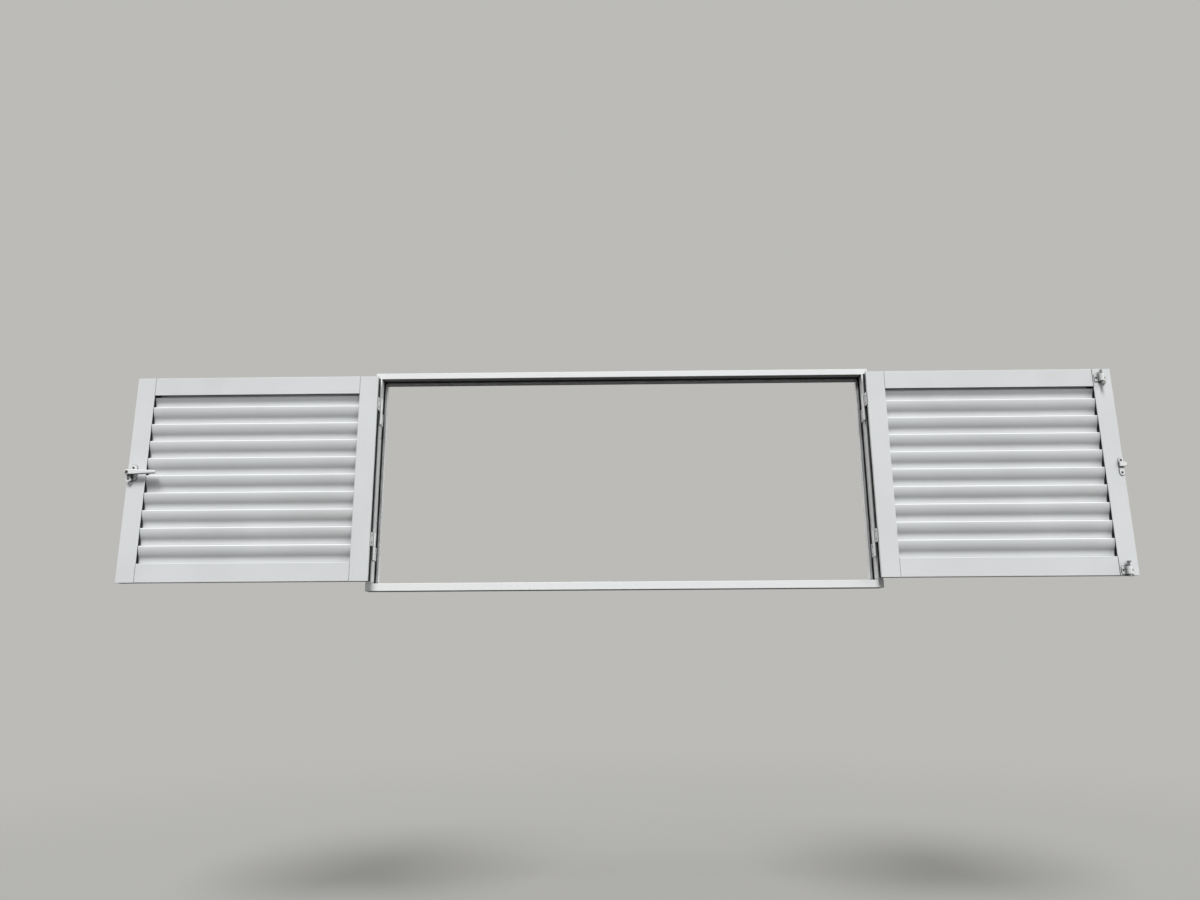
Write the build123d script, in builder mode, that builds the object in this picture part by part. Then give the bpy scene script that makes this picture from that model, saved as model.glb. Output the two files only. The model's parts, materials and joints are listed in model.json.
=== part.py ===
from build123d import *
import os
from math import ceil, cos, radians, sin

# Pair of louvred aluminium shutter leaves on their own frame, both leaves folded back.
# X runs to the right seen from outdoors, Y runs into the wall, Z runs up.
# The origin is the middle of the sill's underside, in the plane of the wall's face.
# All lengths are in millimetres.

# Frame
frame_width = 1500
frame_height = 660
frame_depth = 50
frame_proud = 10
jamb_face = 18
sill_face = 22
frame_wall = 1.8
stop_rise = 9
stop_depth = 14
edge_round = 1.0
fixing_radius = 3.25
fixing_spacing = 260
gasket_width = 5
gasket_height = 3.7
gasket_corner = 8
frame_cleat_arm = 60
frame_cleat_thick = 12
sill_plug_height = 40

# Leaves
side_gap = 4
top_gap = 4
bottom_gap = 4
meeting_gap = 3
leaf_thick = 32
member_face = 54
member_wall = 1.8
joint_gap = 0.3
groove_width = 14
groove_deep = 8
channel_deep = 10.5
fit_gap = 0.2
cleat_reach = 32

# Slats
slat_pitch = 52
slat_height = 62
slat_wall = 1.5
slat_inset = 5.1
lip_radius = 1.6
crown_radius = 85.5
crown_start = 3
crown_end = 26
tail_radius = 25
slat_entry = 5.5
pocket_deep = 6
pocket_gap = 0.2
top_slat_gap = 5
holder_overrun = 12

# Meeting strip on the outer face of the left leaf
strip_thick = 2.5
strip_lap = 18
strip_seat = 20
strip_clear = 0.3

# Hinges
hinge_inset = 102
knuckle_radius = 5.5
knuckle_height = 38.5
pin_radius = 3
pin_height = 31
pin_chamfer = 0.5
bore_gap = 0.05
washer_thick = 1
washer_gap = 0.1
hinge_plate = 2
pin_proud = 6
plate_reach = 34
hinge_screw_spread = 22
hinge_screw_length = 14

# Screws
screw_radius = 2
screw_head_radius = 3.8
screw_play = 0.05
sill_screw_radius = 2.5
sill_screw_head = 4.5
sill_screw_head_thick = 3
sill_screw_bite = 16
sill_screw_inset = 12
sill_screw_stop_gap = 6
drill_spare = 1

# Lever catch on the left leaf
lever_height = 320
pivot_inset = 10
base_inset = 5
base_width = 24
base_height = 46
base_thick = 3
boss_radius = 4.9
boss_height = 8
journal_radius = 3.6
journal_end = 0.5
cam_level = 8.5
cam_thick = 3.5
cam_drop = 20
cam_end_radius = 8
cam_hole_radius = 3.4
cam_neck = 9
spindle_square = 8
hub_radius = 8
hub_level = 15
lever_thick = 9
lever_length = 82
lever_root = 7.5
lever_root_shift = 8
lever_tip = 4.5
lever_round = 2.5
pivot_screw_radius = 1.9
pivot_head_radius = 4
pivot_head_thick = 2

# Keeper on the right leaf
keeper_width = 14
keeper_height = 52
keeper_inset = 1
keeper_drop = 6
keeper_thick = 2.5
keeper_rise = 7.8
keeper_nose = 6.2
keeper_nose_radius = 7
keeper_nose_clear = 2

# Barrel bolts on the right leaf
bolt_inset = 33
bolt_lift = 11
bolt_radius = 4
bolt_play = 0.08
bolt_throw = 9
bolt_hole_radius = 4.5
top_bolt_short = 6
bottom_bolt_over = 3.6
bolt_bracket_width = 34
bolt_bracket_height = 22
bolt_bracket_thick = 2.5
bolt_bracket_wall = 2.4
top_bracket_drop = 12
bottom_bracket_rise = 7
knob_radius = 2.6
knob_reach = 10
knob_gap = 0.3
bolt_tip_chamfer = 1

# Places that follow from the sizes above
half_width = frame_width / 2
front = -frame_proud
back = frame_depth - frame_proud
stop_face = back - stop_depth
jamb_inner = half_width - jamb_face
head_inner = frame_height - jamb_face
stop_under = head_inner - stop_rise

pin_x = jamb_inner - side_gap / 2
pin_y = front - pin_proud
leaf_bottom = sill_face + bottom_gap
leaf_height = head_inner - top_gap - leaf_bottom
leaf_top = leaf_bottom + leaf_height
leaf_width = jamb_inner - side_gap - meeting_gap / 2
hinge_edge = pin_x + side_gap / 2
free_edge = hinge_edge + leaf_width
outer_face = pin_y - pin_proud
inner_face = outer_face - leaf_thick
hinge_inner_edge = hinge_edge + member_face
free_inner_edge = free_edge - member_face
rail_length = free_inner_edge - hinge_inner_edge
groove_line = inner_face + leaf_thick / 2
hinge_lines = [leaf_bottom + hinge_inset, leaf_top - hinge_inset]
plate_mid = (knuckle_height + washer_thick) / 2
channel_width = leaf_thick - 2 * member_wall
channel_floor = member_face - channel_deep
cleat_low_side = groove_deep + member_wall + fit_gap
cleat_high_side = channel_floor - member_wall - fit_gap
cleat_line = (cleat_low_side + cleat_high_side) / 2

os.makedirs("parts", exist_ok=True)


def save(piece, name):
    piece.part.label = name
    export_step(piece.part, f"parts/{name}.step")


def save_pair(right_piece, name):
    """Write a piece of the right-hand side and its mirror image on the left."""
    save(right_piece, f"right_{name}")
    with BuildPart() as left_piece:
        mirror(right_piece.part, about=Plane.YZ)
    save(left_piece, f"left_{name}")


# Frame: hollow sections, with a stop lip at the back of the jambs and the head

def frame_section(plane):
    """Section of a jamb or the head: x is depth from the front, y is inwards from the outside."""
    stop_front = frame_depth - stop_depth
    stop_top = jamb_face + stop_rise
    with BuildSketch(plane) as section:
        with BuildLine():
            Polyline(
                (0, 0), (frame_depth, 0), (frame_depth, stop_top), (stop_front, stop_top),
                (stop_front, jamb_face), (0, jamb_face), close=True,
            )
        make_face()
        offset(amount=-frame_wall, kind=Kind.INTERSECTION, mode=Mode.SUBTRACT)
    return section.sketch


corner_plane = Plane(origin=(half_width, 0, frame_height), z_dir=(1, 0, -1))
frame_screw_y = (front + pin_y + plate_reach) / 2
frame_screw_heights = [
    hinge_line - plate_mid + side * hinge_screw_spread / 2
    for hinge_line in hinge_lines
    for side in (-1, 1)
]

with BuildPart() as right_jamb:
    jamb_foot = Plane(origin=(half_width, front, sill_face), x_dir=(0, 1, 0), z_dir=(0, 0, 1))
    extrude(frame_section(jamb_foot), amount=frame_height - sill_face)
    split(bisect_by=corner_plane, keep=Keep.TOP)
    fillet(right_jamb.edges().filter_by(Axis.Z).group_by(Axis.Y)[0], edge_round)
    fixing_heights = [frame_height / 2 + side * fixing_spacing / 2 for side in (-1, 1)]
    fixing_line = (front + stop_face) / 2
    with Locations(*[Plane(origin=(jamb_inner, fixing_line, z), z_dir=(-1, 0, 0)) for z in fixing_heights]):
        Hole(radius=fixing_radius, depth=jamb_face)
    for z in frame_screw_heights:
        with Locations(Plane(origin=(jamb_inner, frame_screw_y, z), z_dir=(-1, 0, 0))):
            Hole(radius=screw_radius + screw_play, depth=2 * frame_wall)
save_pair(right_jamb, "jamb")

bolt_closed_x = meeting_gap / 2 + bolt_inset
bolt_closed_y = pin_y + (pin_y - inner_face) + bolt_lift

with BuildPart() as head:
    head_end = Plane(origin=(half_width, front, frame_height), x_dir=(0, 1, 0), z_dir=(-1, 0, 0))
    extrude(frame_section(head_end), amount=frame_width)
    split(bisect_by=corner_plane, keep=Keep.BOTTOM)
    split(bisect_by=Plane(origin=(-half_width, 0, frame_height), z_dir=(-1, 0, -1)), keep=Keep.BOTTOM)
    fillet(head.edges().filter_by(Axis.X).group_by(Axis.Y)[0], edge_round)
    with Locations(Plane(origin=(bolt_closed_x, bolt_closed_y, stop_under), z_dir=(0, 0, -1))):
        Hole(radius=bolt_hole_radius, depth=2 * frame_wall)
save(head, "head")

jamb_mid_x = half_width - jamb_face / 2
sill_screw_lines = [front + sill_screw_inset, stop_face - sill_screw_stop_gap]

with BuildPart() as sill:
    with BuildSketch(Plane(origin=(-half_width, front, 0), x_dir=(0, 1, 0), z_dir=(1, 0, 0))):
        Rectangle(frame_depth, sill_face, align=(Align.MIN, Align.MIN))
        offset(amount=-frame_wall, kind=Kind.INTERSECTION, mode=Mode.SUBTRACT)
    extrude(amount=frame_width)
    fillet(sill.edges().filter_by(Axis.X).group_by(Axis.Y)[0], edge_round)
    with Locations((bolt_closed_x, bolt_closed_y, sill_face)):
        Hole(radius=bolt_hole_radius, depth=2 * frame_wall)
    for side in (-1, 1):
        for screw_y in sill_screw_lines:
            with Locations((side * jamb_mid_x, screw_y, sill_face)):
                Hole(radius=sill_screw_radius + screw_play, depth=2 * frame_wall)
            with Locations((side * jamb_mid_x, screw_y, frame_wall)):
                Hole(radius=sill_screw_head + fit_gap, depth=frame_wall)
save(sill, "sill")

# Weather seal: one bulb strip up one jamb stop, across the head stop and down the other
gasket_x = jamb_inner - stop_rise / 2
gasket_z = head_inner - stop_rise / 2

with BuildPart() as gasket:
    with BuildLine() as gasket_route:
        FilletPolyline(
            (-gasket_x, stop_face, sill_face), (-gasket_x, stop_face, gasket_z),
            (gasket_x, stop_face, gasket_z), (gasket_x, stop_face, sill_face), radius=gasket_corner,
        )
    with BuildSketch(Plane(origin=(-gasket_x, stop_face, sill_face), x_dir=(1, 0, 0), z_dir=(0, 0, 1))):
        with BuildLine():
            Line((-gasket_width / 2, 0), (gasket_width / 2, 0))
            ThreePointArc((gasket_width / 2, 0), (0, -gasket_height), (-gasket_width / 2, 0))
        make_face()
    sweep(path=gasket_route.wire())
save(gasket, "weather_seal")

# Corner cleats inside the frame: an angle in each top corner, a plug at each jamb's foot
cleat_low = frame_wall + fit_gap
cleat_front = front + frame_wall + fit_gap
cleat_depth = frame_depth - stop_depth - 2 * (frame_wall + fit_gap)

with BuildPart() as frame_cleats:
    with BuildSketch(Plane.XZ.offset(-cleat_front)):
        for side in (-1, 1):
            outer_x = side * (half_width - cleat_low)
            inner_x = side * (half_width - frame_cleat_arm)
            top_z = frame_height - cleat_low
            low_z = frame_height - frame_cleat_arm
            step_x = outer_x - side * frame_cleat_thick
            step_z = top_z - frame_cleat_thick
            with BuildLine():
                Polyline(
                    (outer_x, top_z), (outer_x, low_z), (step_x, low_z),
                    (step_x, step_z), (inner_x, step_z), (inner_x, top_z), close=True,
                )
            make_face()
    extrude(amount=-cleat_depth)
    for side in (-1, 1):
        with Locations((side * jamb_mid_x, cleat_front, sill_face)):
            Box(
                jamb_face - 2 * cleat_low, cleat_depth, sill_plug_height,
                align=(Align.CENTER, Align.MIN, Align.MIN),
            )
        for screw_y in sill_screw_lines:
            with Locations(Plane(origin=(side * jamb_mid_x, screw_y, sill_face), z_dir=(0, 0, -1))):
                Hole(radius=sill_screw_radius + screw_play, depth=sill_screw_bite + drill_spare)
save(frame_cleats, "frame_cleats")

# Hinges: the lower knuckle carries the pin and is screwed to the jamb, the upper one lifts off

with BuildPart() as hinge_washers:
    for side in (-1, 1):
        for hinge_line in hinge_lines:
            with Locations((side * pin_x, pin_y, hinge_line)):
                Cylinder(knuckle_radius, washer_thick)
                Cylinder(pin_radius + bore_gap, washer_thick, mode=Mode.SUBTRACT)
save(hinge_washers, "hinge_washers")


def frame_hinge(hinge_line):
    """Lower half: knuckle with its pin, and a plate on the jamb's inner side."""
    low = hinge_line - washer_thick / 2 - knuckle_height
    with BuildPart() as half:
        with BuildSketch(Plane.XY.offset(low)):
            with Locations((pin_x, pin_y)):
                Circle(knuckle_radius)
                Rectangle(hinge_plate, plate_reach, align=(Align.MIN, Align.MIN))
        extrude(amount=knuckle_height)
        with BuildSketch(Plane.XY.offset(low + knuckle_height)):
            with Locations((pin_x, pin_y)):
                Circle(pin_radius)
        extrude(amount=pin_height)
        chamfer(half.faces().sort_by(Axis.Z)[-1].edges(), pin_chamfer)
        for side in (-1, 1):
            screw_z = hinge_line - plate_mid + side * hinge_screw_spread / 2
            with Locations(Plane(origin=(pin_x, frame_screw_y, screw_z), z_dir=(-1, 0, 0))):
                CounterSinkHole(screw_radius + screw_play, screw_head_radius, depth=hinge_plate)
    return half


def leaf_hinge(hinge_line):
    """Upper half: bored knuckle, and a plate with a tongue that fills the stile's groove."""
    low = hinge_line + washer_thick / 2 + washer_gap
    with BuildPart() as half:
        with BuildSketch(Plane.XY.offset(low)):
            with Locations((pin_x, pin_y)):
                Circle(knuckle_radius)
                Rectangle(hinge_plate, plate_reach, align=(Align.MIN, Align.MAX))
            with Locations((hinge_edge, groove_line)):
                Rectangle(
                    groove_deep, groove_width - 2 * fit_gap, align=(Align.MIN, Align.CENTER)
                )
        extrude(amount=knuckle_height)
        with Locations(Plane(origin=(pin_x, pin_y, low), z_dir=(0, 0, -1))):
            Hole(radius=pin_radius + bore_gap, depth=pin_height + washer_thick)
        for side in (-1, 1):
            screw_z = hinge_line + plate_mid + washer_gap + side * hinge_screw_spread / 2
            with Locations(Plane(origin=(pin_x, groove_line, screw_z), z_dir=(-1, 0, 0))):
                CounterSinkHole(
                    screw_radius + screw_play, screw_head_radius, depth=hinge_plate + groove_deep
                )
    return half


for hinge_name, hinge_line in zip(("bottom", "top"), hinge_lines):
    save_pair(frame_hinge(hinge_line), f"{hinge_name}_hinge_pin_half")
    save_pair(leaf_hinge(hinge_line), f"{hinge_name}_hinge_leaf_half")


# Leaves: square-cut hollow members, all of one section

def member_section(plane):
    """Section of a stile or rail: x runs inwards from its outer edge, y from the inner face."""
    middle = leaf_thick / 2
    chamber_length = channel_floor - 2 * member_wall
    with BuildSketch(plane) as section:
        outline = Rectangle(member_face, leaf_thick, align=(Align.MIN, Align.MIN))
        fillet(outline.vertices(), edge_round)
        with Locations((member_wall, middle)):
            Rectangle(chamber_length, channel_width, align=(Align.MIN, Align.CENTER), mode=Mode.SUBTRACT)
        with Locations((0, middle)):
            Rectangle(
                groove_deep + member_wall, groove_width + 2 * member_wall,
                align=(Align.MIN, Align.CENTER),
            )
            Rectangle(groove_deep, groove_width, align=(Align.MIN, Align.CENTER), mode=Mode.SUBTRACT)
        with Locations((member_face, middle)):
            Rectangle(channel_deep, channel_width, align=(Align.MAX, Align.CENTER), mode=Mode.SUBTRACT)
    return section.sketch


cleat_heights = [leaf_bottom + cleat_line, leaf_top - cleat_line]
leaf_screw_heights = [
    hinge_line + plate_mid + washer_gap + side * hinge_screw_spread / 2
    for hinge_line in hinge_lines
    for side in (-1, 1)
]
hinge_groove_floor = hinge_edge + groove_deep

with BuildPart() as hinge_stile:
    foot = Plane(origin=(hinge_edge, inner_face, leaf_bottom), x_dir=(1, 0, 0), z_dir=(0, 0, 1))
    extrude(member_section(foot), amount=leaf_height)
    for z in leaf_screw_heights:
        with Locations(Plane(origin=(hinge_groove_floor, groove_line, z), z_dir=(-1, 0, 0))):
            Hole(radius=screw_radius + screw_play, depth=member_wall)
save_pair(hinge_stile, "hinge_stile")

with BuildPart() as free_stile_blank:
    top = Plane(origin=(free_edge, inner_face, leaf_top), x_dir=(-1, 0, 0), z_dir=(0, 0, -1))
    extrude(member_section(top), amount=leaf_height)

with BuildPart() as top_rail:
    rail_end = Plane(
        origin=(hinge_inner_edge + joint_gap, inner_face, leaf_top), x_dir=(0, 0, -1), z_dir=(1, 0, 0)
    )
    extrude(member_section(rail_end), amount=rail_length - 2 * joint_gap)
save_pair(top_rail, "top_rail")

with BuildPart() as bottom_rail:
    rail_end = Plane(
        origin=(free_inner_edge - joint_gap, inner_face, leaf_bottom), x_dir=(0, 0, 1), z_dir=(-1, 0, 0)
    )
    extrude(member_section(rail_end), amount=rail_length - 2 * joint_gap)
save_pair(bottom_rail, "bottom_rail")

# Cleats: one block in each corner, crimped into the stile's channel and the rail's end
stile_channels = [
    (hinge_edge + channel_floor, 1),
    (free_edge - channel_floor, -1),
]

with BuildPart() as leaf_cleats:
    for channel_x, inwards in stile_channels:
        for z in cleat_heights:
            with Locations(Plane(origin=(channel_x, groove_line, z), z_dir=(inwards, 0, 0))):
                Box(
                    cleat_high_side - cleat_low_side, channel_width - 2 * fit_gap,
                    channel_deep + cleat_reach,
                    align=(Align.CENTER, Align.CENTER, Align.MIN),
                )
save_pair(leaf_cleats, "leaf_cleats")


# Slats: a rolled lip, a crown that leans outwards and a tail that turns back to the vertical

def slat_outline(plane, trim_height=None, grow=0):
    """Slat section: x is depth from the inner face, y is height from the top of the lip.

    A grown outline is a holder's pocket, square round the lip.
    """
    start_lean = (sin(radians(crown_start)), -cos(radians(crown_start)))
    with BuildSketch(plane) as outline:
        with BuildLine():
            crown = JernArc(
                start=(slat_inset, -lip_radius), tangent=start_lean,
                radius=crown_radius, arc_size=crown_end - crown_start,
            )
            tail = JernArc(
                start=crown @ 1, tangent=crown % 1, radius=tail_radius, arc_size=-crown_end
            )
            Line(tail @ 1, ((tail @ 1).X, -slat_height))
            offset(amount=slat_wall, side=Side.LEFT)
        make_face()
        with Locations((slat_inset, -lip_radius)):
            if grow:
                Rectangle(2 * lip_radius, 2 * lip_radius)
            else:
                Circle(lip_radius)
        if grow:
            offset(amount=grow, kind=Kind.INTERSECTION)
        if trim_height is not None:
            with Locations((slat_inset, trim_height + grow)):
                Rectangle(leaf_thick, slat_height, align=(Align.CENTER, Align.MIN), mode=Mode.SUBTRACT)
    return outline.sketch


slat_field = leaf_height - 2 * member_face
slat_count = ceil((slat_field - top_slat_gap) / slat_pitch)
slat_base = leaf_bottom + member_face
trim_line = leaf_top - member_face - top_slat_gap
lip_heights = [slat_base + (number + 1) * slat_pitch for number in range(slat_count)]


def trim_of(lip_height):
    """Where a slat that would reach into the top rail is cut off, measured from its lip."""
    return trim_line - lip_height if lip_height > trim_line else None


for number, lip_height in enumerate(lip_heights, start=1):
    with BuildPart() as slat:
        slat_end = Plane(
            origin=(hinge_inner_edge - slat_entry, inner_face, lip_height),
            x_dir=(0, 1, 0), z_dir=(1, 0, 0),
        )
        extrude(slat_outline(slat_end, trim_of(lip_height)), amount=rail_length + 2 * slat_entry)
    save_pair(slat, f"slat_{number:02d}")

# Slat holders: black strips in the stiles' channels, with one pocket for each slat end
holder_low = slat_base - holder_overrun
holder_height = slat_field + 2 * holder_overrun

with BuildPart() as slat_holders:
    for strip_x, pocket_x in (
        (hinge_edge + channel_floor, hinge_inner_edge - pocket_deep),
        (free_inner_edge, free_inner_edge),
    ):
        with Locations((strip_x, groove_line, holder_low)):
            Box(
                channel_deep, channel_width - 2 * fit_gap, holder_height,
                align=(Align.MIN, Align.CENTER, Align.MIN),
            )
        for lip_height in lip_heights:
            pocket_floor = Plane(
                origin=(pocket_x, inner_face, lip_height), x_dir=(0, 1, 0), z_dir=(1, 0, 0)
            )
            extrude(
                slat_outline(pocket_floor, trim_of(lip_height), pocket_gap),
                amount=pocket_deep, mode=Mode.SUBTRACT,
            )
save_pair(slat_holders, "slat_holders")

# Meeting strip: laps the right leaf's outer face when both leaves are shut
with BuildPart() as meeting_strip:
    with BuildSketch(Plane.XY.offset(leaf_bottom)):
        with BuildLine():
            Polyline(
                (-free_edge + strip_seat, outer_face), (-free_edge, outer_face),
                (-free_edge, outer_face + strip_clear), (-free_edge - strip_lap, outer_face + strip_clear),
                (-free_edge - strip_lap, outer_face + strip_thick),
                (-free_edge + strip_seat, outer_face + strip_thick), close=True,
            )
        make_face()
    extrude(amount=leaf_height)
    fillet(meeting_strip.edges().filter_by(Axis.Z).group_by(Axis.Y)[-1], edge_round)
save(meeting_strip, "meeting_strip")

# Lever catch: x and y of this plane are X and Z, its normal points at the viewer
pivot_x = free_edge - pivot_inset
pivot_z = leaf_bottom + lever_height
catch_plane = Plane(origin=(-pivot_x, inner_face, pivot_z), x_dir=(1, 0, 0), z_dir=(0, -1, 0))
base_shift = base_inset - pivot_inset + base_width / 2
base_screw_drop = base_height / 2 - 2 * screw_head_radius
base_screw_spots = [(base_shift, side * base_screw_drop) for side in (-1, 1)]

with BuildPart() as handle_base:
    with BuildSketch(catch_plane):
        with Locations((base_shift, 0)):
            RectangleRounded(base_width, base_height, base_width / 3)
    extrude(amount=base_thick)
    with BuildSketch(catch_plane.offset(base_thick)):
        Circle(boss_radius)
    extrude(amount=boss_height - base_thick)
    with Locations(catch_plane.offset(boss_height)):
        Hole(radius=journal_radius + bore_gap, depth=boss_height)
    with Locations(catch_plane.offset(base_thick)):
        with Locations(*base_screw_spots):
            CounterSinkHole(screw_radius + screw_play, screw_head_radius, depth=base_thick)
save(handle_base, "handle_base")

with BuildPart() as cam:
    with BuildSketch(catch_plane.offset(cam_level)):
        Circle(hub_radius)
        with Locations((0, -cam_drop)):
            Circle(cam_end_radius)
        Rectangle(cam_neck, cam_drop, align=(Align.CENTER, Align.MAX))
        Rectangle(spindle_square + 2 * fit_gap, spindle_square + 2 * fit_gap, mode=Mode.SUBTRACT)
        with Locations((0, -cam_drop)):
            Circle(cam_hole_radius, mode=Mode.SUBTRACT)
    extrude(amount=cam_thick)
save(cam, "lever_cam")

with BuildPart() as lever:
    with BuildSketch(catch_plane.offset(journal_end)):
        Circle(journal_radius)
    extrude(amount=boss_height - journal_end)
    with BuildSketch(catch_plane.offset(boss_height)):
        Rectangle(spindle_square, spindle_square)
    extrude(amount=hub_level - boss_height)
    with BuildSketch(catch_plane.offset(hub_level)):
        Circle(hub_radius)
    extrude(amount=lever_thick)
    with BuildSketch(catch_plane.offset(hub_level)) as arm_plan:
        with Locations((lever_root_shift, 0)):
            Circle(lever_root)
        with Locations((lever_length - lever_tip, 0)):
            Circle(lever_tip)
        make_hull()
    extrude(amount=lever_thick)
    fillet(lever.faces().sort_by(Axis.Y)[0].edges(), lever_round)
    with Locations(catch_plane.offset(hub_level + lever_thick)):
        Hole(radius=pivot_screw_radius + bolt_play, depth=hub_level + lever_thick)
save(lever, "lever")

with BuildPart() as pivot_screw:
    with BuildSketch(catch_plane.offset(hub_level + lever_thick)):
        Circle(pivot_head_radius)
    extrude(amount=pivot_head_thick)
    chamfer(pivot_screw.faces().sort_by(Axis.Y)[0].edges(), pin_chamfer)
    with BuildSketch(catch_plane.offset(hub_level + lever_thick)):
        Circle(pivot_screw_radius)
    extrude(amount=-(hub_level + lever_thick + 2 * member_wall))
save(pivot_screw, "lever_pivot_screw")

with BuildPart() as left_free_stile:
    mirror(free_stile_blank.part, about=Plane.YZ)
    with Locations(catch_plane):
        Hole(radius=pivot_screw_radius + screw_play, depth=2 * member_wall)
        with Locations(*base_screw_spots):
            Hole(radius=screw_radius + screw_play, depth=member_wall)
save(left_free_stile, "left_free_stile")

# Keeper: a plate with a raised nose that overhangs the right leaf's free edge
keeper_x = free_edge - keeper_inset - keeper_width / 2
keeper_plane = Plane(
    origin=(keeper_x, inner_face, pivot_z - keeper_drop), x_dir=(1, 0, 0), z_dir=(0, -1, 0)
)
keeper_screw_drop = keeper_height / 2 - 2 * screw_head_radius
keeper_screw_spots = [(0, side * keeper_screw_drop) for side in (-1, 1)]
nose_reach = keeper_inset + keeper_width / 2 + keeper_nose

with BuildPart() as keeper:
    with BuildSketch(keeper_plane):
        SlotOverall(keeper_height, keeper_width, rotation=90)
    extrude(amount=keeper_thick)
    with BuildSketch(keeper_plane.offset(keeper_nose_clear)):
        with Locations((nose_reach - keeper_nose_radius, keeper_drop)):
            Circle(keeper_nose_radius)
            Rectangle(
                nose_reach + keeper_width / 2 - keeper_nose_radius, 2 * keeper_nose_radius,
                align=(Align.MAX, Align.CENTER),
            )
    extrude(amount=keeper_rise - keeper_nose_clear)
    chamfer(keeper.faces().sort_by(Axis.Y)[0].edges(), edge_round)
    with Locations(keeper_plane.offset(keeper_thick)):
        with Locations(*keeper_screw_spots):
            CounterSinkHole(screw_radius + screw_play, screw_head_radius, depth=keeper_thick)
save(keeper, "keeper")

# Barrel bolts: the bracket is fixed to the free stile, the rod slides in its bore
bolt_x = free_edge - bolt_inset
bolt_y = inner_face - bolt_lift
bracket_radius = bolt_radius + bolt_play + bolt_bracket_wall
bracket_screw_shift = (bolt_bracket_width / 2 + bracket_radius) / 2
top_bolt_end = leaf_top - top_bolt_short
bottom_bolt_end = leaf_bottom - bottom_bolt_over
bracket_feet = {
    "top": top_bolt_end - top_bracket_drop - bolt_bracket_height,
    "bottom": bottom_bolt_end + bottom_bracket_rise,
}


def bracket_screw_planes(foot_z):
    """Planes on the stile's inner face, one under each screw of the bracket that starts at foot_z."""
    mid_z = foot_z + bolt_bracket_height / 2
    return [
        Plane(origin=(bolt_x + side * bracket_screw_shift, inner_face, mid_z), z_dir=(0, -1, 0))
        for side in (-1, 1)
    ]


for bolt_name, foot_z in bracket_feet.items():
    with BuildPart() as bracket:
        with BuildSketch(Plane.XY.offset(foot_z)):
            with Locations((bolt_x, inner_face)):
                Rectangle(bolt_bracket_width, bolt_bracket_thick, align=(Align.CENTER, Align.MAX))
                Rectangle(2 * bracket_radius, bolt_lift, align=(Align.CENTER, Align.MAX))
            with Locations((bolt_x, bolt_y)):
                Circle(bracket_radius)
                Circle(bolt_radius + bolt_play, mode=Mode.SUBTRACT)
        extrude(amount=bolt_bracket_height)
        side_edges = bracket.edges().filter_by(Axis.Y)
        fillet(side_edges.group_by(Axis.X)[0] + side_edges.group_by(Axis.X)[-1], 2 * edge_round)
        for screw_plane in bracket_screw_planes(foot_z):
            with Locations(screw_plane.offset(bolt_bracket_thick)):
                CounterSinkHole(screw_radius + screw_play, screw_head_radius, depth=bolt_bracket_thick)
    save(bracket, f"{bolt_name}_bolt_bracket")


def bolt_rod(tip_z, knob_z, upwards):
    """Rod with a chamfered tip at tip_z and a finger knob near its other end."""
    rod_length = abs(tip_z - knob_z) + knob_radius + pin_chamfer
    with BuildPart() as rod:
        with BuildSketch(Plane(origin=(bolt_x, bolt_y, tip_z), z_dir=(0, 0, -upwards))):
            Circle(bolt_radius)
        extrude(amount=rod_length)
        chamfer(rod.faces().sort_by(Axis.Z)[-1 if upwards > 0 else 0].edges(), bolt_tip_chamfer)
        with BuildSketch(Plane(origin=(bolt_x, bolt_y, knob_z), x_dir=(1, 0, 0), z_dir=(0, -1, 0))):
            Circle(knob_radius)
        extrude(amount=knob_reach)
        chamfer(rod.faces().sort_by(Axis.Y)[0].edges(), pin_chamfer)
    return rod


knob_stand_off = bolt_throw + knob_radius + knob_gap
top_knob_z = bracket_feet["top"] - knob_stand_off
bottom_knob_z = bracket_feet["bottom"] + bolt_bracket_height + knob_stand_off
save(bolt_rod(top_bolt_end, top_knob_z, 1), "top_bolt")
save(bolt_rod(bottom_bolt_end, bottom_knob_z, -1), "bottom_bolt")

with BuildPart() as right_free_stile:
    add(free_stile_blank.part)
    with Locations(keeper_plane):
        with Locations(*keeper_screw_spots):
            Hole(radius=screw_radius + screw_play, depth=member_wall)
    for foot_z in bracket_feet.values():
        with Locations(*bracket_screw_planes(foot_z)):
            Hole(radius=screw_radius + screw_play, depth=member_wall)
save(right_free_stile, "right_free_stile")


# Screws, each group one set of separate solids

def countersunk_screw(length):
    """Countersunk screw: its head's flat face lies on the workplane, its shank runs back from it."""
    head_depth = screw_head_radius - screw_radius
    with BuildPart() as screw:
        with BuildSketch(Plane.XZ):
            with BuildLine():
                Polyline(
                    (0, 0), (screw_head_radius - screw_play, 0), (screw_radius, -head_depth),
                    (screw_radius, -length), (0, -length), close=True,
                )
            make_face()
        revolve(axis=Axis.Z)
    return screw.part


def headed_screw(length):
    """Pan-head screw: the underside of its head lies on the workplane."""
    with BuildPart() as screw:
        with BuildSketch(Plane.XZ):
            with BuildLine():
                Polyline(
                    (0, sill_screw_head_thick), (sill_screw_head, sill_screw_head_thick),
                    (sill_screw_head, 0), (sill_screw_radius, 0),
                    (sill_screw_radius, -length), (0, -length), close=True,
                )
            make_face()
        revolve(axis=Axis.Z)
    return screw.part


hinge_screw = countersunk_screw(hinge_screw_length)
sill_screw = headed_screw(frame_wall + sill_screw_bite)

with BuildPart() as frame_screws:
    for side in (-1, 1):
        for z in frame_screw_heights:
            with Locations(Plane(origin=(side * pin_x, frame_screw_y, z), z_dir=(-side, 0, 0))):
                add(hinge_screw)
        for screw_y in sill_screw_lines:
            with Locations(
                Plane(origin=(side * jamb_mid_x, screw_y, sill_face - frame_wall), z_dir=(0, 0, -1))
            ):
                add(sill_screw)
save(frame_screws, "frame_screws")

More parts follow.
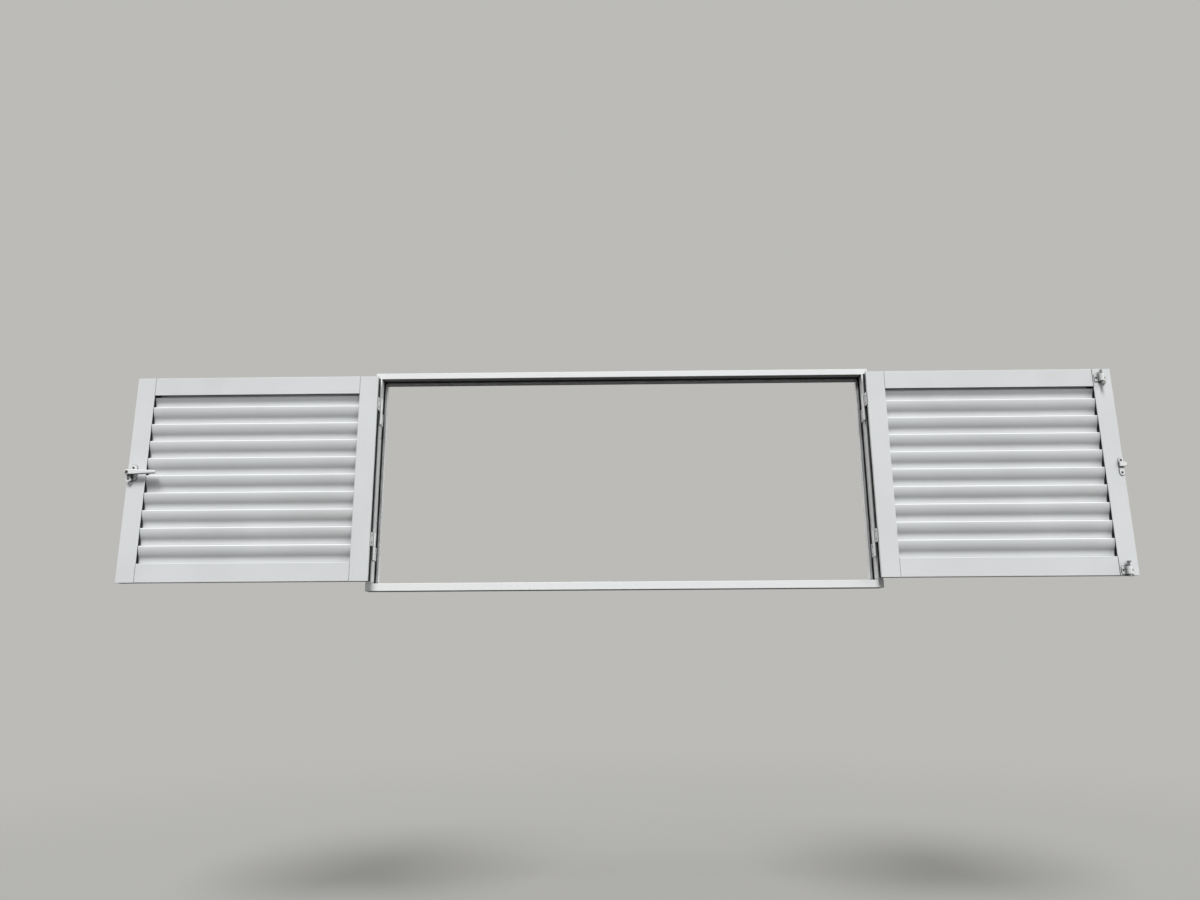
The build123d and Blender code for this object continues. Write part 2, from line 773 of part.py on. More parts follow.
with BuildPart() as member_screws:
    for z in leaf_screw_heights:
        with Locations(Plane(origin=(pin_x, groove_line, z), z_dir=(-1, 0, 0))):
            add(hinge_screw)

with BuildPart() as left_leaf_screws:
    mirror(member_screws.part, about=Plane.YZ)
    with Locations(catch_plane.offset(base_thick)):
        with Locations(*base_screw_spots):
            add(countersunk_screw(base_thick + member_wall))
save(left_leaf_screws, "left_leaf_screws")

with BuildPart() as right_leaf_screws:
    add(member_screws.part)
    with Locations(keeper_plane.offset(keeper_thick)):
        with Locations(*keeper_screw_spots):
            add(countersunk_screw(keeper_thick + member_wall))
    for foot_z in bracket_feet.values():
        for screw_plane in bracket_screw_planes(foot_z):
            with Locations(screw_plane.offset(bolt_bracket_thick)):
                add(countersunk_screw(bolt_bracket_thick + member_wall))
save(right_leaf_screws, "right_leaf_screws")
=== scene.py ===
from collections import namedtuple
import json
import math

import bmesh
import bpy
from mathutils import Matrix, Vector


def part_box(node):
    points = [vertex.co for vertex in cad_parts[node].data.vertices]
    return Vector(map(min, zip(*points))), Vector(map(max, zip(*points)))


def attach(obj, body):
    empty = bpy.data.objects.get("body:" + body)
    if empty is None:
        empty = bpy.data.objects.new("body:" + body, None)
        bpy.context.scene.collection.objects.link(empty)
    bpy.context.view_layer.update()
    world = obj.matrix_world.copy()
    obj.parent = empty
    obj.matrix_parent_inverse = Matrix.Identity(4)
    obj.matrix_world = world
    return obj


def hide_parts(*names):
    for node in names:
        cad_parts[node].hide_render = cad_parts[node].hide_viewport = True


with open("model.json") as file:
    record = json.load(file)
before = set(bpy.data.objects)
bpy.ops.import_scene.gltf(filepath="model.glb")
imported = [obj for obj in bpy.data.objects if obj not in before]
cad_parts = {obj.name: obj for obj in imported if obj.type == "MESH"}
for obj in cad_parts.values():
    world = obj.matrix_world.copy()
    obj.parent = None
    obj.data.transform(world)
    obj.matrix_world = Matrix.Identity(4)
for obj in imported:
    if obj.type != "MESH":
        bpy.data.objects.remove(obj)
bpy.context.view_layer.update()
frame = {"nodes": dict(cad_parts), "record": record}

# Lengths are in metres and angles in degrees, unless a name or comment says otherwise.
# X runs to the right seen from outdoors, Y into the wall, Z up.

# Camera: the viewer stands low in front of the window and looks up at it
CAMERA_PLACE = (-0.038, -2.494, -0.156)
CAMERA_PITCH = 12.91
CAMERA_YAW = -0.64
CAMERA_ROLL = -0.38
PHOTO_WIDTH_PX = 1200
FOCAL_PX = 850
SENSOR_WIDTH_MM = 36.0

# Floor and background: the floor fades into the background between two distances
FLOOR_LEVEL = -1.0
FLOOR_HALF_SIZE = 40.0
FLOOR_FADE_START = 2.2
FLOOR_FADE_END = 5.5
BACKGROUND = (0.50, 0.495, 0.475)
FLOOR_PAINT = (0.38, 0.376, 0.36)
FLOOR_BOUNCE = (0.06, 0.06, 0.06)
FLOOR_ROUGHNESS = 0.9
FLOOR_GLOSS = 0.1

# Sky light: low strength where the direction's Z is SKY_FOOT, high strength straight up
SKY_COLOUR = (0.97, 0.985, 1.0)
SKY_FOOT = -0.3
SKY_LOW = 0.02
SKY_HIGH = 0.30

# Lamps: name, direction that the light comes from, spread, strength
LAMPS = (
    ("key", (-0.07, -0.65, 0.757), 24, 3.05),
    ("side", (0.90, -0.38, 0.20), 60, 1.65),
    ("back", (-0.25, 0.92, 0.30), 60, 1.0),
)

# Paints, metals and dirt
WHITE = (0.735, 0.75, 0.758)
FRAME_WHITE = (0.845, 0.855, 0.86)
# whiter paint on the slats' lips: a painted highlight
LIP_HIGHLIGHT = (0.88, 0.89, 0.895)
HINGE_WHITE = (0.84, 0.85, 0.85)
FITTING_WHITE = (0.79, 0.80, 0.80)
BOLT_ZINC = (0.32, 0.325, 0.33)
SCREW_ZINC = (0.13, 0.13, 0.127)
MILL_BRIGHT = (0.60, 0.61, 0.62)
MILL_DARK = (0.48, 0.49, 0.50)
DUST = (0.44, 0.42, 0.38)
# dirt in the stile and rail seams, with painted shade there
SEAM_DIRT_AND_SHADE = (0.05, 0.05, 0.048)
# near-black painted shade for grooves, corners and undersides
RECESS_SHADE = (0.008, 0.008, 0.008)
# dark painted shade in crevices and on the undersides of fittings
CREVICE_AND_UNDERSIDE_SHADE = (0.014, 0.013, 0.012)
PAINT_SHADE = 0.955
ZINC_SHADE = 0.72

# Patches: noise scale, detail and roughness, then the noise levels where a patch starts and is full
PAINT_PATCHES = (3.1, 3.0, 0.5, 0.35, 0.65)
DIRT_FILM = (6.3, 6.0, 0.6, 0.52, 0.78)
ZINC_PATCHES = (140.0, 5.0, 0.6, 0.35, 0.75)
WORN_PATCHES = (35.0, 5.0, 0.6, 0.45, 0.75)

# Dust and film: the dust's noise scale, detail and roughness, and how strong the film of dirt is
DUST_NOISE = (21.0, 5.0, 0.65)
FILM_STRENGTH = 0.07

# Specks: a grid's scale, the share of its cells that have a mark and how softly they are chosen,
# then the mark's radius in the grid's own unit, the share of it that is full, and its strength
SPECK_SCALE = 17.0
SPECK_SHARE = 0.012
SPECK_EDGE = 0.001
SPECK_SIZE = 0.02
SPECK_CORE = 0.6
SPECK_STRENGTH = 0.45

# Roughness wanders between two values as its noise, of a scale and detail, goes from low to high
NOISE_LOW = 0.3
NOISE_HIGH = 0.7
PAINT_ROUGHNESS = (0.33, 0.45)
PAINT_ROUGHNESS_NOISE = (12.0, 4.0)
ZINC_ROUGHNESS_NOISE = (90.0, 4.0)
MOULDED_ROUGHNESS_NOISE = (50.0, 3.0)
MILL_ROUGHNESS = (0.32, 0.48)

# Scale of the bare aluminium's colour noise, and the index of refraction of every finish here
MILL_NOISE = 60.0
SURFACE_IOR = 1.5

# Fine relief: orange peel, rolled, drawn and extruded lines, by noise scale or stretch along each axis
PEEL_SCALE = 620.0
PEEL_DETAIL = 2.0
ROLL_LINES = (1.5, 260.0, 260.0)
ROLL_DETAIL = 4.0
ROLL_NOISE_ROUGHNESS = 0.6
DRAW_LINES = (2600.0, 2600.0, 90.0)
DRAW_DEPTH = 0.00001
DIE_LINES = (900.0, 900.0, 8.0)
DIE_DEPTH = 0.00002

# Edges are shaded as if they had this radius
EDGE_ROUNDING = 0.0009
ROUNDING_SAMPLES = 4

# Facing, as the Z of a surface's normal: from where to where dust and dullness grow on what looks up,
# and where the painted shade on what looks down is full, and where it ends under members and under fittings
DUST_FACING = (0.55, 0.95)
DULL_FACING = (0.36, 0.50)
DULL_ROUGHNESS = 0.85
FACING_DOWN = -0.9
MEMBER_SHADE_ENDS = -0.7
FITTING_SHADE_ENDS = -0.5

# Crevices get painted shade: rays, how open a spot is when fully shaded and when unshaded, and how far zinc
# parts look for walls
CREVICE_SAMPLES = 6
CREVICE_CLOSED = 0.5
PAINT_OPEN = 0.86
ZINC_OPEN = 0.88
ZINC_SHADE_REACH = 0.010

# Painted shade in recesses: its strength, and the width over which it and the other masks fade
RECESS_SHADE_STRENGTH = 0.98
MASK_EDGE = 0.0006

# Painted shade in the stiles' outer grooves, whose mouth is left out, and on the hinge stile's edge,
# unshaded along its back
GROOVE_WIDTH = 0.014
GROOVE_DEPTH = 0.008
GROOVE_MOUTH = 0.0012
EDGE_UNSHADED = 0.0025

# Painted shade in the corner in front of the frame's stop: how far it lies from the stop and on the member
# beside it
STOP_DEPTH = 0.014
STOP_RISE = 0.009
STOP_OVERLAP = 0.0002
CORNER_SHADE_REACH = 0.012
CORNER_FADE = 0.0012
CORNER_SIDE = 0.0018

# The fixed frame: how dark the painted shade on its undersides is, and where its whiter paint starts behind
# the leaves
HEAD_SHADE = 0.75
FRAME_WHITE_STARTS = 0.0006
FRAME_WHITE_FULL = 0.0024

# Seams of stile and rail, darkened with dirt in the joint and painted shade: half widths and strengths
SEAM_HALF = 0.0008
SEAM_RIGHT = 0.85
SEAM_LEFT = 0.35
SEAM_HINGE_HALF = 0.0004
SEAM_HINGE = 0.25

# Slats: the face turns in from the lip, leans back most at the turn, and is upright again at the tail
SLAT_WALL = 0.0015
LIP_RADIUS = 0.0016
SLAT_TURN = 0.031
SLAT_TAIL = 0.0456
CURVE_STEPS = 18
LIP_STEPS = 14
SHARP_ANGLE = 38
TRIM_TOLERANCE = 0.0006

# Weather seal: corners and steps, then its foot as a share of its bulge, and how much of its width it fills
SEAL_CORNER = 0.008
SEAL_CORNER_STEPS = 8
SEAL_STEP = 0.008
BULB_STEPS = 10
SEAL_FOOT = 0.25
SEAL_FILL = 0.94

# The seal sways in two waves along its length: the small one's shares are of the large one's height
# and length, and its start is in radians
SEAL_WAVE = 0.00035
SEAL_WAVE_LENGTH = 0.11
SMALL_WAVE_SHARE = 0.6
SMALL_WAVE_LENGTH_SHARE = 0.37
SMALL_WAVE_START = 1.3

# Screws' cross recess: arm and half width as shares of the head's radius, its floor as a share of its rim,
# its depth and the most that is of the head's height, and the turn from one screw to the next
RECESS_ARM = 0.55
RECESS_HALF_WIDTH = 0.17
RECESS_FLOOR = 0.72
RECESS_DEPTH = 0.0012
RECESS_DEPTH_SHARE = 0.75
RECESS_TURN = 37
QUARTER_TURN = 90

# Screws' head and shank: a pan head's underside is over PAN_HEAD_RATIO times as wide as the shank
RIM_INSET = 0.0001
RIM_DROP = 0.00008
PAN_HEAD_RATIO = 1.2
NECK_STEP = 0.00002
SCREW_SIDES = 32
THREAD_PITCH = 0.0014
THREAD_DEPTH = 0.00035
TIP_SHARE = 0.8

# Tolerances for measuring a node's points, and the decimals that a level is rounded to
SAME_SPOT = 1e-6
SAME_LEVEL = 1e-5
LEVEL_DIGITS = 6


# Node helpers

class Sheet:
    """A material's node tree, with short calls for the nodes that the materials here share."""

    def __init__(self, name):
        self.material = bpy.data.materials.new(name)
        self.material.use_nodes = True
        self.nodes = self.material.node_tree.nodes
        self.links = self.material.node_tree.links
        self.shader = self.nodes["Principled BSDF"]
        self.place = self.nodes.new("ShaderNodeTexCoord").outputs["Object"]

    def link(self, source, target):
        self.links.new(source, target)

    def stretched(self, scale):
        """Object coordinates with each axis scaled by its own factor."""
        mapping = self.nodes.new("ShaderNodeMapping")
        mapping.inputs["Scale"].default_value = scale
        self.link(self.place, mapping.inputs["Vector"])
        return mapping.outputs["Vector"]

    def noise(self, scale, detail=3.0, roughness=0.5, vector=None):
        node = self.nodes.new("ShaderNodeTexNoise")
        node.inputs["Scale"].default_value = scale
        node.inputs["Detail"].default_value = detail
        node.inputs["Roughness"].default_value = roughness
        self.link(vector or self.place, node.inputs["Vector"])
        return node.outputs["Fac"]

    def band(self, value, low, high, to_low=0.0, to_high=1.0):
        """Value mapped from low..high to to_low..to_high, and held there beyond both ends."""
        node = self.nodes.new("ShaderNodeMapRange")
        node.interpolation_type = "SMOOTHSTEP"
        ends = {"From Min": low, "From Max": high, "To Min": to_low, "To Max": to_high}
        for name, number in ends.items():
            node.inputs[name].default_value = number
        self.link(value, node.inputs["Value"])
        return node.outputs["Result"]

    def patches(self, pattern):
        """1 inside irregular patches, else 0, from noise settings and the levels of a patch's edge."""
        scale, detail, roughness, low, high = pattern
        return self.band(self.noise(scale, detail, roughness), low, high)

    def wander(self, noise, low, high):
        """A number that wanders between low and high with the noise."""
        return self.band(noise, NOISE_LOW, NOISE_HIGH, low, high)

    def calculate(self, operation, first, second=0.0):
        node = self.nodes.new("ShaderNodeMath")
        node.operation = operation
        for socket, value in zip(node.inputs, (first, second)):
            if isinstance(value, (int, float)):
                socket.default_value = value
            else:
                self.link(value, socket)
        return node.outputs["Value"]

    def times(self, first, second):
        return self.calculate("MULTIPLY", first, second)

    def larger(self, first, second):
        return self.calculate("MAXIMUM", first, second)

    def blend(self, factor, first, second):
        """Colour that goes from first to second as factor goes from 0 to 1."""
        node = self.nodes.new("ShaderNodeMix")
        node.data_type = "RGBA"
        self.link(factor, node.inputs["Factor"])
        for name, colour in (("A", first), ("B", second)):
            socket = [s for s in node.inputs if s.name == name and s.type == "RGBA"][0]
            if isinstance(colour, tuple):
                socket.default_value = (*colour, 1)
            else:
                self.link(colour, socket)
        return [s for s in node.outputs if s.type == "RGBA"][0]

    def bump(self, height, distance, after=None):
        node = self.nodes.new("ShaderNodeBump")
        node.inputs["Distance"].default_value = distance
        node.inputs["Strength"].default_value = 1.0
        self.link(height, node.inputs["Height"])
        if after:
            self.link(after, node.inputs["Normal"])
        return node.outputs["Normal"]

    def rounded_edges(self):
        """Normals that look as if every edge had a small radius."""
        node = self.nodes.new("ShaderNodeBevel")
        node.samples = ROUNDING_SAMPLES
        node.inputs["Radius"].default_value = EDGE_ROUNDING
        return node.outputs["Normal"]

    def axes(self):
        """Object coordinates as three numbers."""
        split = self.nodes.new("ShaderNodeSeparateXYZ")
        self.link(self.place, split.inputs["Vector"])
        return split.outputs["X"], split.outputs["Y"], split.outputs["Z"]

    def between(self, value, low, high, edge=MASK_EDGE):
        """1 where value lies between low and high, fading to 0 over edge beyond both."""
        above = self.band(value, low - edge, low)
        below = self.band(value, high, high + edge, 1.0, 0.0)
        return self.times(above, below)

    def around(self, value, middle, half):
        """1 where value lies within half of middle, fading to 0 beyond."""
        return self.between(value, middle - half, middle + half)

    def crevice(self, reach, open_share):
        """1 deep in a crevice and 0 on open faces, where reach is how far the walls count; it drives
        painted shade.
        """
        node = self.nodes.new("ShaderNodeAmbientOcclusion")
        node.samples = CREVICE_SAMPLES
        node.inputs["Distance"].default_value = reach
        return self.band(node.outputs["AO"], CREVICE_CLOSED, open_share, 1.0, 0.0)

    def upward(self):
        """How far the surface faces up, from -1 to 1."""
        split = self.nodes.new("ShaderNodeSeparateXYZ")
        self.link(self.nodes.new("ShaderNodeNewGeometry").outputs["Normal"], split.inputs["Vector"])
        return split.outputs["Z"]

    def downward(self, end, strength=1.0):
        """Strength where the surface faces down, fading to 0 where its normal's Z reaches end."""
        return self.band(self.upward(), FACING_DOWN, end, strength, 0.0)

    def specks(self):
        """1 inside small round marks that sit in a few of a grid's cells, else 0."""
        cells = self.nodes.new("ShaderNodeTexVoronoi")
        cells.inputs["Scale"].default_value = SPECK_SCALE
        self.link(self.place, cells.inputs["Vector"])
        inside = self.band(cells.outputs["Distance"], SPECK_SIZE * SPECK_CORE, SPECK_SIZE, 1.0, 0.0)
        split = self.nodes.new("ShaderNodeSeparateColor")
        self.link(cells.outputs["Color"], split.inputs["Color"])
        chosen = self.band(split.outputs["Red"], 1 - SPECK_SHARE, 1 - SPECK_SHARE + SPECK_EDGE)
        return self.times(inside, chosen)

    def finish(self, colour, roughness, normal, metallic=0.0):
        self.link(colour, self.shader.inputs["Base Color"])
        self.link(roughness, self.shader.inputs["Roughness"])
        self.link(normal, self.shader.inputs["Normal"])
        self.shader.inputs["Metallic"].default_value = metallic
        self.shader.inputs["IOR"].default_value = SURFACE_IOR
        return self.material


# Masks for where the painted members get painted shade, seam dirt or whiter paint. Those in X are placed on
# the right half and mirrored, as the two leaves and jambs are alike there

def frame_share(sheet):
    """1 on the fixed frame's members, which lie deeper than the leaves, else 0."""
    leaf_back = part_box("right_hinge_stile")[1][1]
    return sheet.band(sheet.axes()[1], leaf_back + FRAME_WHITE_STARTS, leaf_back + FRAME_WHITE_FULL)


def groove_painted_shade(sheet, aside, depth):
    """Painted shade: 1 in the grooves of the stiles' outer edges, and on the hinge stile's edge behind its
    groove.
    """
    low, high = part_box("right_hinge_stile")
    free_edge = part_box("right_free_stile")[1][0]
    middle = (low[1] + high[1]) / 2
    near_wall = middle - GROOVE_WIDTH / 2 - MASK_EDGE
    far_wall = middle + GROOVE_WIDTH / 2 + MASK_EDGE
    hinge_side = sheet.between(aside, low[0] + GROOVE_MOUTH, low[0] + GROOVE_DEPTH)
    free_side = sheet.between(aside, free_edge - GROOVE_DEPTH, free_edge - GROOVE_MOUTH)
    inside = sheet.times(sheet.between(depth, near_wall, far_wall), sheet.larger(hinge_side, free_side))
    on_edge = sheet.around(aside, low[0], MASK_EDGE)
    behind = sheet.times(sheet.between(depth, near_wall, high[1] - EDGE_UNSHADED), on_edge)
    return sheet.larger(inside, behind)


def stop_painted_shade(sheet, aside, depth, height):
    """Painted shade: 1 in the corner in front of the frame's stop, on the jambs and under the head, else 0.
    """
    low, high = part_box("right_jamb")
    width = high[0] - low[0]
    stop_side = low[0] + STOP_RISE
    stop_face = high[1] - STOP_DEPTH
    head_foot = high[2] - width + STOP_RISE
    head_middle = high[2] - width / 2
    near_stop = sheet.between(depth, stop_face - CORNER_SHADE_REACH, stop_face + STOP_OVERLAP, CORNER_FADE)
    beside_seal = sheet.between(aside, stop_side - CORNER_SIDE, stop_side + MASK_EDGE)
    under_head = sheet.band(height, head_foot - CORNER_SIDE, head_foot)
    not_on_top = sheet.band(height, head_middle, head_middle + MASK_EDGE, 1.0, 0.0)
    corners = sheet.times(near_stop, sheet.larger(beside_seal, under_head))
    return sheet.times(corners, not_on_top)


def underside_painted_shade(sheet, aside, height):
    """Painted shade: 1 under the top rails and HEAD_SHADE on what faces down in the fixed frame, else 0."""
    low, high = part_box("right_top_rail")
    under_rail = sheet.times(sheet.around(height, low[2], MASK_EDGE), sheet.downward(MEMBER_SHADE_ENDS))
    under_rail = sheet.times(under_rail, sheet.between(aside, low[0], high[0]))
    under_frame = sheet.times(sheet.downward(MEMBER_SHADE_ENDS, HEAD_SHADE), frame_share(sheet))
    return sheet.larger(under_rail, under_frame)


def recess_painted_shade(sheet):
    """How strong the painted shade in the members' grooves, corners and undersides is, from 0 to 1."""
    across, depth, height = sheet.axes()
    aside = sheet.calculate("ABSOLUTE", across)
    grime = sheet.larger(groove_painted_shade(sheet, aside, depth), stop_painted_shade(sheet, aside, depth, height))
    return sheet.larger(grime, underside_painted_shade(sheet, aside, height))


def seam_dirt_and_shade(sheet):
    """Dark lines where the stiles meet the rails, dirt in the joint and painted shade, strongest beside the
    right leaf's free stile.
    """
    across, _, height = sheet.axes()
    aside = sheet.calculate("ABSOLUTE", across)
    low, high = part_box("right_top_rail")
    bottom_rail_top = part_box("right_bottom_rail")[1][2]
    beside_top = sheet.band(height, low[2] - MASK_EDGE, low[2])
    beside_bottom = sheet.band(height, bottom_rail_top, bottom_rail_top + MASK_EDGE, 1.0, 0.0)
    strength = sheet.band(across, -MASK_EDGE, MASK_EDGE, SEAM_LEFT, SEAM_RIGHT)
    free = sheet.times(sheet.around(aside, high[0], SEAM_HALF), strength)
    hinge = sheet.times(sheet.around(aside, low[0], SEAM_HINGE_HALF), SEAM_HINGE)
    return sheet.times(sheet.larger(beside_top, beside_bottom), sheet.larger(free, hinge))


def lip_highlight_share(sheet):
    """1 on the slats' lips, which get a painted highlight, else 0."""
    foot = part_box("left_bottom_rail")[1][2]
    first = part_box("left_slat_01")[1][2]
    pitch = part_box("left_slat_02")[1][2] - first
    height = sheet.calculate("SUBTRACT", sheet.axes()[2], foot + (first - foot) % pitch - pitch)
    within = sheet.calculate("MODULO", height, pitch)
    return sheet.band(within, pitch - 2 * LIP_RADIUS, pitch - LIP_RADIUS)


# Materials

def painted(name, paint, dust_share=0.30, streaks=0.0, peel=0.00004, recesses=False, shade_reach=0.0,
            underside_shade=0.0, painted_lip_highlight=False):
    """White powder coat: fine orange peel, slight unevenness, dust on what faces up, a few marks.

    streaks is the depth of rolled lines and peel that of the orange peel. The crevice reach is how far away
    walls count as closing a corner in for painted shade, and the underside setting how dark the painted
    shade is on faces that look down. recesses adds painted shade in the members' grooves, corners and
    undersides, seam lines of dirt and painted shade, and the whiter frame; the lips setting adds a painted
    highlight on the slats' lips.
    """
    sheet = Sheet(name)
    shaded = tuple(c * PAINT_SHADE for c in paint)
    colour = sheet.blend(sheet.patches(PAINT_PATCHES), paint, shaded)
    if recesses:
        colour = sheet.blend(frame_share(sheet), colour, FRAME_WHITE)
    # painted highlight on the slats' lips
    if painted_lip_highlight:
        colour = sheet.blend(lip_highlight_share(sheet), colour, LIP_HIGHLIGHT)
    settled = sheet.times(sheet.band(sheet.upward(), *DUST_FACING), sheet.noise(*DUST_NOISE))
    colour = sheet.blend(sheet.times(settled, dust_share), colour, DUST)
    colour = sheet.blend(sheet.times(sheet.patches(DIRT_FILM), FILM_STRENGTH), colour, DUST)
    colour = sheet.blend(sheet.times(sheet.specks(), SPECK_STRENGTH), colour, DUST)
    roughness = sheet.wander(sheet.noise(*PAINT_ROUGHNESS_NOISE), *PAINT_ROUGHNESS)
    roughness = sheet.larger(roughness, sheet.band(sheet.upward(), *DULL_FACING, 0.0, DULL_ROUGHNESS))
    if recesses:
        shaded_share = recess_painted_shade(sheet)
        # seams: dirt in the joint and painted shade
        colour = sheet.blend(seam_dirt_and_shade(sheet), colour, SEAM_DIRT_AND_SHADE)
        # painted shade, nearly black, in the grooves, corners and undersides
        colour = sheet.blend(sheet.times(shaded_share, RECESS_SHADE_STRENGTH), colour, RECESS_SHADE)
        roughness = sheet.larger(roughness, shaded_share)
    # painted shade in crevices and where parts meet
    if shade_reach:
        colour = sheet.blend(sheet.crevice(shade_reach, PAINT_OPEN), colour, CREVICE_AND_UNDERSIDE_SHADE)
    # painted shade on the faces of fittings that look down
    if underside_shade:
        colour = sheet.blend(sheet.downward(FITTING_SHADE_ENDS, underside_shade), colour, CREVICE_AND_UNDERSIDE_SHADE)
    normal = sheet.bump(sheet.noise(PEEL_SCALE, PEEL_DETAIL), peel, after=sheet.rounded_edges())
    if streaks:
        lines = sheet.noise(1.0, ROLL_DETAIL, ROLL_NOISE_ROUGHNESS, vector=sheet.stretched(ROLL_LINES))
        normal = sheet.bump(lines, streaks, after=normal)
    return sheet.finish(colour, roughness, normal)


def plated(name, metal, roughness_range):
    """Bright zinc plating with a faint draw grain, dull patches and painted shade in crevices."""
    sheet = Sheet(name)
    dull = tuple(c * ZINC_SHADE for c in metal)
    colour = sheet.blend(sheet.patches(ZINC_PATCHES), metal, dull)
    # painted shade in crevices
    colour = sheet.blend(sheet.crevice(ZINC_SHADE_REACH, ZINC_OPEN), colour, CREVICE_AND_UNDERSIDE_SHADE)
    grain = sheet.noise(1.0, vector=sheet.stretched(DRAW_LINES))
    roughness = sheet.wander(sheet.noise(*ZINC_ROUGHNESS_NOISE), *roughness_range)
    return sheet.finish(colour, roughness, sheet.bump(grain, DRAW_DEPTH), metallic=1.0)


def mill_finish():
    """Bare extruded aluminium with die lines."""
    sheet = Sheet("cleat_aluminium")
    colour = sheet.blend(sheet.noise(MILL_NOISE), MILL_BRIGHT, MILL_DARK)
    lines = sheet.noise(1.0, vector=sheet.stretched(DIE_LINES))
    roughness = sheet.wander(lines, *MILL_ROUGHNESS)
    return sheet.finish(colour, roughness, sheet.bump(lines, DIE_DEPTH), metallic=1.0)


def moulded(name, body, worn, roughness_range, texture=480.0, depth=0.00003, gloss=0.5):
    """Plastic or rubber with a fine moulded texture and dusty patches."""
    sheet = Sheet(name)
    sheet.shader.inputs["Specular IOR Level"].default_value = gloss
    colour = sheet.blend(sheet.patches(WORN_PATCHES), body, worn)
    roughness = sheet.wander(sheet.noise(*MOULDED_ROUGHNESS_NOISE), *roughness_range)
    return sheet.finish(colour, roughness, sheet.bump(sheet.noise(texture), depth))


MATERIALS = {
    "white_profile": painted("white_profile", WHITE, recesses=True, shade_reach=0.010),
    "white_slat": painted("white_slat", WHITE, dust_share=0.12, streaks=0.00003, painted_lip_highlight=True),
    "hinge_white": painted("hinge_white", HINGE_WHITE, shade_reach=0.006),
    "fitting_white": painted("fitting_white", FITTING_WHITE, peel=0.00006, shade_reach=0.016, underside_shade=0.9),
    "bolt_zinc": plated("bolt_zinc", BOLT_ZINC, roughness_range=(0.22, 0.38)),
    "screw_zinc": plated("screw_zinc", SCREW_ZINC, roughness_range=(0.26, 0.42)),
    "cleat_aluminium": mill_finish(),
    "washer_nylon": moulded("washer_nylon", body=(0.72, 0.72, 0.69), worn=(0.60, 0.59, 0.55),
                            roughness_range=(0.4, 0.5)),
    "black_plastic": moulded("black_plastic", body=(0.010, 0.010, 0.011), worn=(0.022, 0.022, 0.021),
                             roughness_range=(0.55, 0.7), gloss=0.2),
    "seal_rubber": moulded("seal_rubber", body=(0.36, 0.37, 0.38), worn=(0.27, 0.27, 0.26),
                           roughness_range=(0.5, 0.65), texture=900.0),
}


def dress(piece, slot):
    """Give a piece one material."""
    piece.data.materials.clear()
    piece.data.materials.append(MATERIALS[slot])


for subpart in frame["record"]["subparts"]:
    node = frame["nodes"][subpart["node"]]
    for index in range(len(node.material_slots)):
        node.material_slots[index].material = MATERIALS[subpart["material_slot"]]


# Pieces modelled here

def new_piece(name, mesh_builder, body, slot, *replaced):
    """Make an object from a bmesh, dress it, parent it to its body's empty and hide the parts that it
    replaces.
    """
    mesh = bpy.data.meshes.new(name)
    mesh_builder.to_mesh(mesh)
    mesh_builder.free()
    piece = bpy.data.objects.new(name, mesh)
    bpy.context.collection.objects.link(piece)
    dress(piece, slot)
    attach(piece, body)
    if replaced:
        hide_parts(*replaced)
    return piece


def band_between(work, upper, lower):
    """Faces between two closed rings of points."""
    count = len(upper)
    for i in range(count):
        work.faces.new((upper[i], lower[i], lower[(i + 1) % count], upper[(i + 1) % count]))


# Screws: each is measured on its node's solid, and made again with a cross recess and a thread

Screw = namedtuple("Screw", "start direction length head_radius shank_radius shank_start under_radius")


def solids_of(node_name):
    """The separate solids of a node, each a list of its corner points."""
    work = bmesh.new()
    work.from_mesh(frame["nodes"][node_name].data)
    bmesh.ops.remove_doubles(work, verts=work.verts, dist=SAME_SPOT)
    left = set(work.verts)
    solids = []
    while left:
        group = set()
        queue = [left.pop()]
        while queue:
            vert = queue.pop()
            group.add(vert)
            for edge in vert.link_edges:
                other = edge.other_vert(vert)
                if other in left:
                    left.discard(other)
                    queue.append(other)
        solids.append([vert.co.copy() for vert in group])
    work.free()
    return solids


def screw_of(points):
    """A screw's start at its head, its direction and its sizes, from its solid's corner points."""
    low = Vector([min(p[i] for p in points) for i in range(3)])
    high = Vector([max(p[i] for p in points) for i in range(3)])
    middle = (low + high) / 2
    span = high - low
    axis = max(range(3), key=lambda i: span[i])
    across = [i for i in range(3) if i != axis]

    def radius_at(level):
        near = [p for p in points if abs(p[axis] - level) < SAME_LEVEL]
        return max(math.hypot(*(p[i] - middle[i] for i in across)) for p in near)

    low_radius, high_radius = radius_at(low[axis]), radius_at(high[axis])
    head_level, way = (high[axis], -1) if high_radius > low_radius else (low[axis], 1)
    start = middle.copy()
    start[axis] = head_level
    direction = Vector((0, 0, 0))
    direction[axis] = way
    levels = sorted({round(abs(p[axis] - head_level), LEVEL_DIGITS) for p in points})
    shank_start = levels[1]
    return Screw(start, direction, span[axis], max(low_radius, high_radius), min(low_radius, high_radius),
                 shank_start, radius_at(head_level + way * shank_start))


def ring(work, radius, level):
    """A circle of points round the Z axis at a height."""
    turn = 2 * math.pi / SCREW_SIDES
    return [
        work.verts.new((radius * math.cos(i * turn), radius * math.sin(i * turn), level))
        for i in range(SCREW_SIDES)
    ]


def thread_rings(work, radius, start, end):
    """Rings of a shank with rolled ridges, from start to end along the axis."""
    root = radius - THREAD_DEPTH
    rings = []
    level = start
    while level < end - THREAD_PITCH:
        rings.append(ring(work, root, -level))
        rings.append(ring(work, radius, -(level + THREAD_PITCH / 2)))
        level += THREAD_PITCH
    rings.append(ring(work, root, -level))
    rings.append(ring(work, root * TIP_SHARE, -end))
    return rings


def cross_outline(radius):
    """Corners of the cross recess in a head's flat, anticlockwise, as (x, y)."""
    arm, half = RECESS_ARM * radius, RECESS_HALF_WIDTH * radius
    quarter = [(arm, -half), (arm, half), (half, half)]
    corners = []
    for c, s in ((1, 0), (0, 1), (-1, 0), (0, -1)):
        corners += [(x * c - y * s, x * s + y * c) for x, y in quarter]
    return corners


